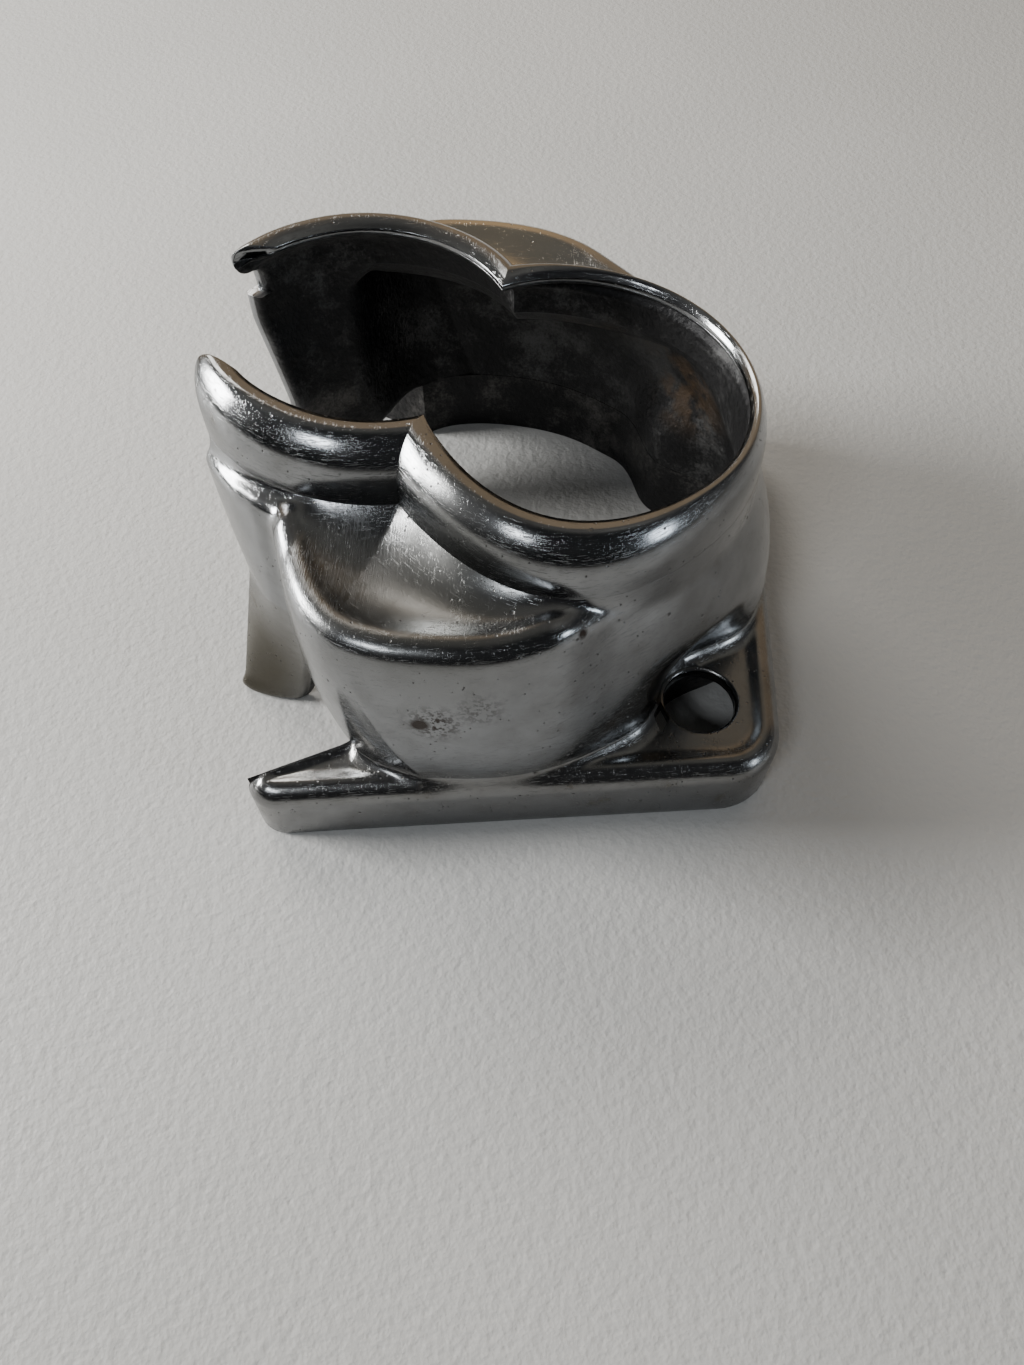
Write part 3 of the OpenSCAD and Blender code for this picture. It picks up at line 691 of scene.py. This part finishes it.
def mounting_tray():
    """The tray as sections round the cup's axis. Its top rises to the cup in a fillet, dips a little,
    rises to its edge and rounds over. The underside is hollow up to a roof of the wall's thickness.
    The holes are cut afterwards."""
    root = np.array([ROOT])
    start = (foot_plain(root) - pocket(root, TRAY_Z) - WALL)[0] * np.array([cosd(ROOT), sind(ROOT)])
    t = np.linspace(0, 1, 200)[:, None]
    line_points = mix(start, np.array([TONGUE_X, SIDE_OPEN - TONGUE_W]), t)
    line_way = line_points[-1] - line_points[0]
    line = polar(line_points)
    ends = np.linspace(ROOT, line[0][-1], 400)
    narrow = on_ray(ends, tray_outline(0)) - on_ray(ends, line) < TONGUE_GAP
    last = ends[np.argmax(narrow)] if narrow.any() else ends[-1]
    half = np.r_[np.linspace(0, ROOT, int(230 * fine), endpoint=False),
                 mix(ROOT, last, crowd(int(60 * fine), 0, 0.9))]
    b = np.r_[-half[:0:-1], half]
    ab = np.abs(b)
    foot = foot_plain(b) - pocket(b, TRAY_Z)
    ri = np.where(ab < ROOT, foot - WALL, on_ray(b, line))
    ro, rs, rw = (on_ray(b, tray_outline(i)) - 0.008 for i in (0, SHOULDER, WALL))
    rw = np.maximum(rw, ri)
    away = unit(np.array([[line_way[1], -line_way[0]]]))[0]
    beyond = polar(line_points - WALL * away * np.sign(away @ np.array([1.0, -1.0])))
    rh = np.minimum(np.where(ab < ROOT - 4, foot, np.maximum(foot, on_ray(b, beyond))), rw - 0.02)
    rh = np.maximum(rh, ri)
    roof = (TRAY_Z - WALL) * smooth((rw - rh) / 0.9)
    fade = smooth((ab - ROOT) / 4)
    rf = np.minimum(mix(foot, ri, fade), ro - 0.02)
    col = lambda v: np.asarray(v)[:, None]
    top = mix(col(rf - 0.12 * (1 - fade)), col(ro), crowd(int(56 * fine), 1, 1)[None])
    edge = col(ro) - top
    d = edge * SHOULDER / col(np.maximum(ro - rs, 0.3))
    u = top - col(rf)
    over = SHOULDER * (1 - np.sqrt(np.clip(1 - np.clip(1 - d / SHOULDER, 0, 1) ** 2, 0, 1)))
    fillet = 0.9 * (1 - np.sqrt(np.clip(1 - np.clip(1 - u / 1.0, 0, 1) ** 2, 0, 1))) * col(1 - fade)
    dip = 0.42 * smooth((d - 1.4) / 1.8) * smooth((u - 0.2) / 1.6)
    zt = TRAY_Z - over + fillet - dip
    middle, flat = (ro + rw) / 2, np.ones(len(b))
    # Each loop: up the bore, over the top, down the skirt, round its foot, and through the hollow
    bore_part = [(ri, flat * 0.4), (ri, flat * (TRAY_Z - 0.05)), (mix(ri, rf, 0.5), flat * (TRAY_Z - 0.03))]
    skirt = [(ro, flat * (TRAY_Z - SHOULDER) * 0.6), (ro, flat), (ro, flat * 0.4), (ro - 0.12, flat * 0.12),
             (np.maximum(ro - 0.4, middle), flat * 0), (np.minimum(rw + 0.3, middle), flat * 0)]
    under = [(rw + 0.02, flat * 0.2), (rw, np.minimum(0.6, roof * 0.5 + 0.2)), (rw, roof + 0.2),
             (rh, roof + 0.2), (rh, flat * 0), (ri, flat * 0)]
    loop_r, loop_z = (np.hstack([np.stack([point[i] for point in bore_part], -1), (top, zt)[i],
                                 np.stack([point[i] for point in skirt + under], -1)]) for i in (0, 1))
    loop_r = np.maximum(loop_r, col(ri))
    points = placed(b[:, None], np.stack([loop_r, loop_z], -1))
    m, n = points.shape[:2]
    o = np.arange(m * n).reshape(m, n)
    nxt = np.roll(o, -1, 1)
    quads = np.stack([o[:-1], nxt[:-1], nxt[1:], o[1:]], -1).reshape(-1, 4)
    mesh = bpy.data.meshes.new("mounting_tray_skin")
    caps = [o[0, ::-1].tolist(), o[-1].tolist()]
    mesh.from_pydata((points.reshape(-1, 3) * 0.001).tolist(), [], quads.tolist() + caps)
    mesh.update()
    body = bpy.data.objects.new("mounting_tray_skin", mesh)
    bpy.context.scene.collection.objects.link(body)
    cutters = [cutter(side) for side in (-1, 1)] + [lozenge(side) for side in (-1, 1)]
    for one in cutters:
        cut = body.modifiers.new("cut", "BOOLEAN")
        cut.operation, cut.solver, cut.object = "DIFFERENCE", "MANIFOLD", one
    bpy.context.view_layer.update()
    done = bpy.data.meshes.new_from_object(body.evaluated_get(bpy.context.evaluated_depsgraph_get()))
    done.name = "mounting_tray_skin"
    body.modifiers.clear()
    body.data = done
    for one in cutters:
        bpy.data.objects.remove(one)
    done.polygons.foreach_set("use_smooth", np.ones(len(done.polygons), bool))
    done.set_sharp_from_angle(angle=math.radians(38))
    co = np.empty(len(done.vertices) * 3)
    done.vertices.foreach_get("co", co)
    co = co.reshape(-1, 3) * 1000
    reach_there = np.hypot(co[:, 0] - SHIFT_X, co[:, 1])
    bear = np.degrees(np.arctan2(co[:, 1], co[:, 0] - SHIFT_X))
    outer_there = on_ray(bear, tray_outline(WALL - 0.1))
    hollow = (co[:, 2] < TRAY_Z - WALL + 0.4) & (reach_there < outer_there)
    bore = (reach_there < np.interp(bear, b, ri) + 0.4) * smooth((ROOT + 20 - np.abs(bear)) / 12)
    inside = np.maximum(hollow, bore).astype(np.float32)
    done.attributes.new("inside", "FLOAT", "POINT").data.foreach_set("value", inside)
    bpy.context.scene.collection.objects.unlink(body)
    body.data.materials.clear()
    settle(body, ["mounting_tray"], dull_chrome)


def solid(name, points, faces):
    """A closed cutting shape from points in millimetres, which the picture leaves out."""
    mesh = bpy.data.meshes.new(name)
    mesh.from_pydata((points * 0.001).tolist(), [], faces)
    mesh.update()
    piece = bpy.data.objects.new(name, mesh)
    bpy.context.scene.collection.objects.link(piece)
    piece.hide_render = True
    return piece


def cutter(side):
    """A pin for one screw hole, turned from a profile that flares where it leaves the tray's top."""
    a = np.radians(np.linspace(0, 90, 8))
    r = np.r_[SCREW_D / 2, SCREW_D / 2, SCREW_D / 2 + 0.45 * (1 - np.cos(a)), SCREW_D / 2 + 1.2]
    z = np.r_[TRAY_Z - WALL - 2, TRAY_Z - 1.2, TRAY_Z - 0.85 + 0.45 * np.sin(a), TRAY_Z + 0.6]
    turn = np.linspace(0, 2 * np.pi, 96, endpoint=False)
    x, y = SHIFT_X + SCREW_X + np.outer(np.cos(turn), r), side * SCREW_Y + np.outer(np.sin(turn), r)
    ring = np.stack([x, y, np.broadcast_to(z, x.shape)], -1)
    o = np.arange(x.size).reshape(x.shape)
    nxt = np.roll(o, -1, 0)
    quads = np.stack([o[:, :-1], nxt[:, :-1], nxt[:, 1:], o[:, 1:]], -1).reshape(-1, 4)
    ends = [o[::-1, 0].tolist(), o[:, -1].tolist()]
    return solid("hole_pin", ring.reshape(-1, 3), quads.tolist() + ends)


def lozenge(side):
    """A four-sided pin for the small opening beside each screw."""
    (half_x, half_y), (shift_x, shift_y) = SLOT_HALF, SLOT_SHIFT
    centre = [SHIFT_X + SCREW_X - SCREW_D / 2 - shift_x, side * (SCREW_Y + shift_y)]
    flat = np.array([[-half_x, 0], [0, -half_y], [half_x, 0], [0, half_y]]) + centre
    low, high = TRAY_Z - WALL - 2, TRAY_Z + 2
    points = np.r_[np.c_[flat, np.full(4, low)], np.c_[flat, np.full(4, high)]]
    sides = [[i, (i + 1) % 4, (i + 1) % 4 + 4, i + 4] for i in range(4)]
    return solid("slot_pin", points, sides + [[3, 2, 1, 0], [4, 5, 6, 7]])


mounting_tray()


# ---------------------------------------------------------------- floor, light and camera
floor_mesh = bpy.data.meshes.new("floor")
floor_mesh.from_pydata([(x, y, 0) for x, y in ((-3, -3), (3, -3), (3, 3), (-3, 3))], [], [(0, 1, 2, 3)])
floor = bpy.data.objects.new("floor", floor_mesh)
bpy.context.scene.collection.objects.link(floor)
floor_mesh.materials.append(leathered())


def area_light(name, place, aim, size, power, colour):
    """A rectangle of soft light at a place, facing the point aimed at."""
    data = bpy.data.lights.new(name, "AREA")
    data.shape, data.size, data.size_y = "RECTANGLE", size[0], size[1]
    data.energy, data.color = power, colour
    light = bpy.data.objects.new(name, data)
    way = Vector(aim) - Vector(place)
    light.matrix_world = Matrix.Translation(place) @ way.to_track_quat("-Z", "Y").to_matrix().to_4x4()
    bpy.context.scene.collection.objects.link(light)


area_light("window_left", (-0.42, 0.02, 0.19), (0, 0, 0.02), (0.15, 0.16), 3.5, (1.0, 0.99, 0.965))
area_light("window_back", (-0.26, 0.36, 0.36), (0, 0.03, 0), (0.26, 0.20), 1.25, (1.0, 0.97, 0.92))
area_light("window_right", (0.52, -0.26, 0.22), (0, 0, 0.02), (0.09, 0.16), 0.5, (0.82, 0.91, 1.0))
area_light("window_high", (-0.25, -0.42, 0.50), (0, 0, 0.0), (0.16, 0.10), 0.8, (0.92, 0.96, 1.0))

world = bpy.data.worlds.new("room")
bpy.context.scene.world = world
world.use_nodes = True
tree = world.node_tree
start = Value(tree, None)
way = start.make("ShaderNodeTexCoord", output="Generated")
y, z = (way.make("ShaderNodeSeparateXYZ", {0: way}, i) for i in (1, 2))
drift = way.noise(1.5, 2, 0.5).rise(0.35, 0.65)
low = drift.blend((0.05, 0.052, 0.055), (0.13, 0.13, 0.13))
high = drift.blend((0.17, 0.165, 0.15), (0.40, 0.39, 0.35))
over = (z * 0.8 + y * 0.5).rise(0.45, 0.95).blend(low, high)
back = y.rise(0.3, 0.7) * (1.0 - z.rise(0.72, 0.92))
warm = (back * 0.85).blend(over, (0.56, 0.41, 0.26))
front = (z * 0.4 - y).rise(0.3, 0.8)
lit = (front * 0.85).blend(warm, (0.02, 0.02, 0.022))
shade = tree.nodes["Background"]
tree.links.new(lit.socket, shade.inputs["Color"])
shade.inputs["Strength"].default_value = 1.0

camera_data = bpy.data.cameras.new("camera")
camera_data.sensor_fit = "VERTICAL"
camera_data.sensor_height = 36.0
camera_data.sensor_width = 27.0
camera_data.lens = 26.37
camera_data.clip_start = 0.005
camera = bpy.data.objects.new("camera", camera_data)
bpy.context.scene.collection.objects.link(camera)
forward = Vector((-0.0305, 0.529, -0.848)).normalized()
right = Vector((0.99834, 0.05756, 0)).normalized()
up = right.cross(forward)
turn = Matrix((right, up, -forward)).transposed().to_4x4()
camera.matrix_world = Matrix.Translation((0.004475, -0.070, 0.092)) @ turn
bpy.context.scene.camera = camera
